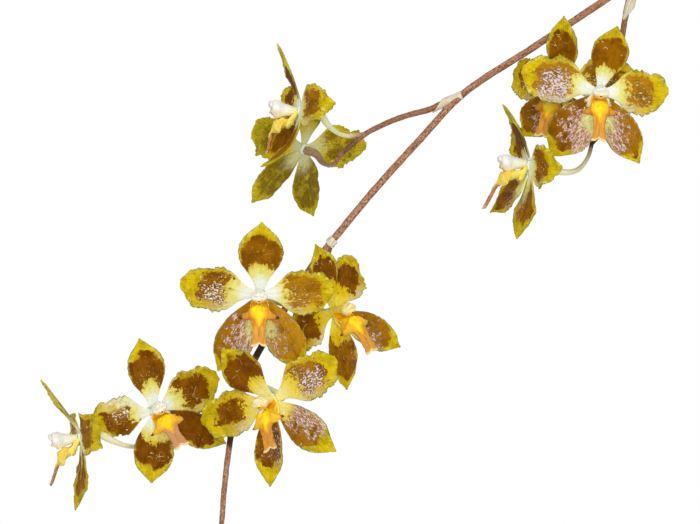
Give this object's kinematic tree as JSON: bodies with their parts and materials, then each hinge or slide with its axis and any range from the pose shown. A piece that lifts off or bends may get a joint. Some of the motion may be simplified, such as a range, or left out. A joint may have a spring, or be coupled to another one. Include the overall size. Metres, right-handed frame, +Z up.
{
  "type": "potted orchid in flower",
  "caption": "Potted orchid with ribbed pseudobulbs, strap leaves and a long arching flower stem that hangs brown and yellow blooms with a white column and a narrow lip.",
  "frame": {"origin": "middle of the pot's underside, on the surface that the pot stands on", "axes": "+Z up, -Y the front that the blooms face, -X the side to which the flower stem arches"},
  "size_m": [0.3928, 0.1986, 0.3773],
  "materials": {
    "clay": "unglazed, dry and slightly dusty",
    "bark": "rough and fibrous",
    "root": "spongy and matt",
    "bulb": "smooth with a low sheen",
    "leaf": "leathery with a low sheen",
    "stem": "matt and finely speckled",
    "bud": "waxy",
    "tepal": "waxy with a fine glisten",
    "lip": "waxy",
    "column": "waxy"
  },
  "bodies": {
    "root": {"pot": "clay", "bark_mix": "bark", "rhizome_and_roots": "root", "pseudobulb_old": "bulb", "pseudobulb_middle": "bulb", "pseudobulb_lead": "bulb", "leaf_1": "leaf", "leaf_2": "leaf", "leaf_3": "leaf", "leaf_4": "leaf", "leaf_5": "leaf", "leaf_6": "leaf", "sheath_leaf_1": "leaf", "sheath_leaf_2": "leaf", "flower_stem": "stem", "bloom_01_tepals": "tepal", "bloom_01_lip": "lip", "bloom_01_column": "column", "bloom_02_tepals": "tepal", "bloom_02_lip": "lip", "bloom_02_column": "column", "bloom_03_tepals": "tepal", "bloom_03_lip": "lip", "bloom_03_column": "column", "bloom_04_tepals": "tepal", "bloom_04_lip": "lip", "bloom_04_column": "column", "bloom_05_tepals": "tepal", "bloom_05_lip": "lip", "bloom_05_column": "column", "bloom_06_tepals": "tepal", "bloom_06_lip": "lip", "bloom_06_column": "column", "bloom_07_tepals": "tepal", "bloom_07_lip": "lip", "bloom_07_column": "column", "bloom_08_tepals": "tepal", "bloom_08_lip": "lip", "bloom_08_column": "column", "bloom_09_tepals": "tepal", "bloom_09_lip": "lip", "bloom_09_column": "column", "bloom_10_tepals": "tepal", "bloom_10_lip": "lip", "bloom_10_column": "column", "bloom_11_tepals": "tepal", "bloom_11_lip": "lip", "bloom_11_column": "column", "bloom_12_tepals": "tepal", "bloom_12_lip": "lip", "bloom_12_column": "column", "bloom_13_tepals": "tepal", "bloom_13_lip": "lip", "bloom_13_column": "column", "bud_1": "bud", "bud_2": "bud", "bud_3": "bud", "bud_4": "bud"}
  },
  "joints": []
}
